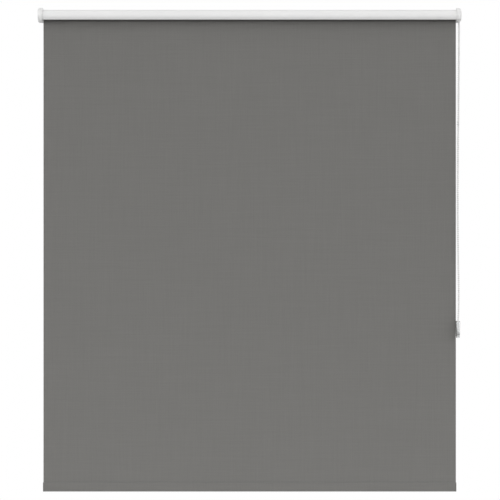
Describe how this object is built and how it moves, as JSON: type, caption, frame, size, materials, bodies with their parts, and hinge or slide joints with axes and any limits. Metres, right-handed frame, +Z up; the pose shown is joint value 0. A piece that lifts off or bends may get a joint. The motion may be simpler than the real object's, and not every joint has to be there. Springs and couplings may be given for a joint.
{
  "type": "roller blind",
  "caption": "Chain-operated roller blind: grey fabric on a tube in a slim rounded white cassette with domed end caps, weighted hem and a bead chain with tensioner.",
  "frame": {"origin": "middle of the centre wall bracket's back face, on the wall plane", "axes": "+Z up along the hanging fabric, +X to the right as seen from the room, +Y into the wall"},
  "size_m": [1.3, 0.0476, 1.483],
  "materials": {
    "white_aluminium": "smooth white powder coat",
    "white_plastic": "satin moulded white plastic",
    "bead_chain": "glossy white plastic beads",
    "grey_fabric": "plain woven polyester, matt mid grey",
    "bare_aluminium": "mill-finish extruded aluminium",
    "zinc_steel": "bright zinc plate",
    "spring_steel": "drawn spring wire",
    "black_plastic": "moulded black plastic",
    "grey_plastic": "moulded grey plastic",
    "clear_plastic": "clear moulded plastic",
    "adhesive_tape": "double-sided tape"
  },
  "bodies": {
    "root": {"cassette_profile": "white_aluminium", "drive_cap_cover": "white_plastic", "drive_cap_base": "white_plastic", "idle_cap_cover": "white_plastic", "idle_cap_base": "white_plastic", "cap_screw_drive_top": "zinc_steel", "cap_screw_drive_back": "zinc_steel", "cap_screw_idle_top": "zinc_steel", "cap_screw_idle_back": "zinc_steel", "clutch_spindle": "black_plastic", "wrap_spring": "spring_steel", "idle_bush": "black_plastic", "wall_bracket_left": "zinc_steel", "wall_bracket_centre": "zinc_steel", "wall_bracket_right": "zinc_steel", "lever_rivet_left": "zinc_steel", "lever_rivet_centre": "zinc_steel", "lever_rivet_right": "zinc_steel", "fabric_sheet": "grey_fabric", "chain_loop": "bead_chain", "chain_over_sprocket": "bead_chain", "chain_joiner": "clear_plastic", "tensioner_shell_left": "clear_plastic", "tensioner_shell_right": "clear_plastic", "tensioner_pin": "zinc_steel"},
    "roller": {"roller_tube": "bare_aluminium", "tube_tape": "adhesive_tape", "fabric_wraps": "grey_fabric", "chain_sprocket": "black_plastic", "drive_adaptor": "white_plastic", "idle_plug": "white_plastic", "spring_seat": "white_plastic", "pin_spring": "spring_steel"},
    "bearing_pin": {"idle_pin": "zinc_steel"},
    "hem_rail": {"hem_pocket": "grey_fabric", "hem_bar": "bare_aluminium", "hem_cap_left": "grey_plastic", "hem_cap_right": "grey_plastic"},
    "tensioner_pulley": {"tensioner_wheel": "white_plastic"},
    "lever_left": {"lock_lever_left": "white_plastic"},
    "lever_centre": {"lock_lever_centre": "white_plastic"},
    "lever_right": {"lock_lever_right": "white_plastic"}
  },
  "joints": [
    {"name": "roller_spin", "type": "hinge", "parent": "root", "child": "roller", "pos_m": [0, -0.02561, -0.0016], "axis": [1, 0, 0], "range_deg": [0, 5940]},
    {"name": "rail_lift", "type": "slide", "parent": "root", "child": "hem_rail", "axis": [0, 0, 1], "range_m": [0, 1.406], "deforming": ["fabric_sheet"]},
    {"name": "wheel_spin", "type": "hinge", "parent": "root", "child": "tensioner_pulley", "pos_m": [0.638, -0.02928, -0.97735], "axis": [1, 0, 0], "range_deg": [0, 11345]},
    {"name": "pin_press", "type": "slide", "parent": "roller", "child": "bearing_pin", "axis": [1, 0, 0], "range_m": [0, 0.006], "stiffness_N_per_m": 300, "springref_m": -0.008, "deforming": ["pin_spring"]},
    {"name": "lever_turn_left", "type": "hinge", "parent": "root", "child": "lever_left", "pos_m": [-0.48, -0.0057, -0.0122], "axis": [0, 1, 0], "range_deg": [0, 90]},
    {"name": "lever_turn_centre", "type": "hinge", "parent": "root", "child": "lever_centre", "pos_m": [0, -0.0057, -0.0122], "axis": [0, 1, 0], "range_deg": [0, 90]},
    {"name": "lever_turn_right", "type": "hinge", "parent": "root", "child": "lever_right", "pos_m": [0.48, -0.0057, -0.0122], "axis": [0, 1, 0], "range_deg": [0, 90]}
  ],
  "couplings": [
    {"joint": "rail_lift", "follows": "roller_spin", "m_per_rad": 0.013561},
    {"joint": "wheel_spin", "follows": "roller_spin", "ratio": 1.9099}
  ]
}
